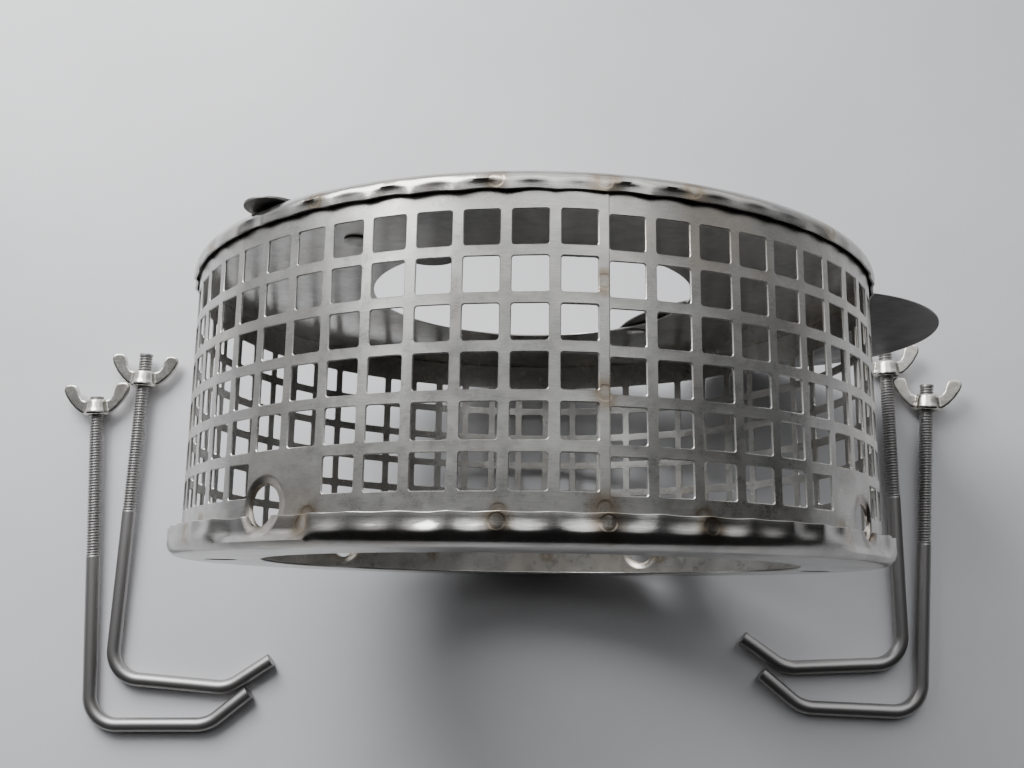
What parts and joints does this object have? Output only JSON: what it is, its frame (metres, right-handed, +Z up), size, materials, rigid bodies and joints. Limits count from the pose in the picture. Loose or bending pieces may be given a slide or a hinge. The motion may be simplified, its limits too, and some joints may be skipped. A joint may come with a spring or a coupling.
{
  "type": "chimney pot bird guard",
  "caption": "Round perforated-steel guard for a chimney pot with a swinging cover and turn catch, laid on its side with its hook bolts and wing nuts.",
  "frame": {"origin": "middle of the whole layout's outline, on the surface that everything lies on", "axes": "+X to the right along the row of bolts, +Y along the drum's axis from the base ring to the cap, +Z up"},
  "size_m": [0.4218, 0.1834, 0.2428],
  "materials": {
    "wall_sheet": "satin rolled sheet, brown heat tint at the spot welds",
    "formed_sheet": "satin, hammered edge",
    "cover_sheet": "dull, finely scratched",
    "rivet_steel": "bright",
    "rod_steel": "polished bends, dark threaded shaft",
    "nut_nickel": "bright cast nickel-plated"
  },
  "bodies": {
    "drum": {"perforated_wall": "wall_sheet", "top_cap": "formed_sheet", "base_ring": "formed_sheet", "cover_rivet": "rivet_steel", "catch_rivet": "rivet_steel"},
    "cover": {"swing_cover": "cover_sheet"},
    "catch": {"catch_lever": "cover_sheet"},
    "bolt_left_outer": {"hook_bolt_left_outer": "rod_steel"},
    "nut_left_outer": {"wing_nut_left_outer": "nut_nickel"},
    "bolt_left_inner": {"hook_bolt_left_inner": "rod_steel"},
    "nut_left_inner": {"wing_nut_left_inner": "nut_nickel"},
    "bolt_right_inner": {"hook_bolt_right_inner": "rod_steel"},
    "nut_right_inner": {"wing_nut_right_inner": "nut_nickel"},
    "bolt_right_outer": {"hook_bolt_right_outer": "rod_steel"},
    "nut_right_outer": {"wing_nut_right_outer": "nut_nickel"}
  },
  "joints": [
    {"name": "cover_swing", "type": "hinge", "parent": "drum", "child": "cover", "pos_m": [0.05195, 0.07862, 0.07383], "axis": [0, -1, 0], "range_deg": [0, 140.37]},
    {"name": "catch_turn", "type": "hinge", "parent": "drum", "child": "catch", "pos_m": [-0.04621, 0.07916, 0.18285], "axis": [0, -1, 0], "range_deg": [-90, 90]},
    {"name": "bolt_left_outer_lift", "type": "slide", "parent": "drum", "child": "bolt_left_outer", "axis": [0, 0, 1], "range_m": [0, 0.28]},
    {"name": "nut_left_outer_spin", "type": "hinge", "parent": "bolt_left_outer", "child": "nut_left_outer", "pos_m": [-0.195, 0.05644, 0.00591], "axis": [-0.061, 0.998, 0.0187], "continuous": true},
    {"name": "bolt_left_inner_lift", "type": "slide", "parent": "drum", "child": "bolt_left_inner", "axis": [0, 0, 1], "range_m": [0, 0.28]},
    {"name": "nut_left_inner_spin", "type": "hinge", "parent": "bolt_left_inner", "child": "nut_left_inner", "pos_m": [-0.17375, 0.07054, 0.0059], "axis": [0.0314, 0.9993, 0.0197], "continuous": true},
    {"name": "bolt_right_inner_lift", "type": "slide", "parent": "drum", "child": "bolt_right_inner", "axis": [0.4226, 0, 0.9063], "range_m": [0, 0.28]},
    {"name": "nut_right_inner_spin", "type": "hinge", "parent": "bolt_right_inner", "child": "nut_right_inner", "pos_m": [0.17689, 0.07981, 0.00588], "axis": [-0.007, 0.9998, 0.02], "continuous": true},
    {"name": "bolt_right_outer_lift", "type": "slide", "parent": "drum", "child": "bolt_right_outer", "axis": [0.4226, 0, 0.9063], "range_m": [0, 0.28]},
    {"name": "nut_right_outer_spin", "type": "hinge", "parent": "bolt_right_outer", "child": "nut_right_outer", "pos_m": [0.19506, 0.06383, 0.0059], "axis": [0.0732, 0.9971, 0.0192], "continuous": true}
  ]
}
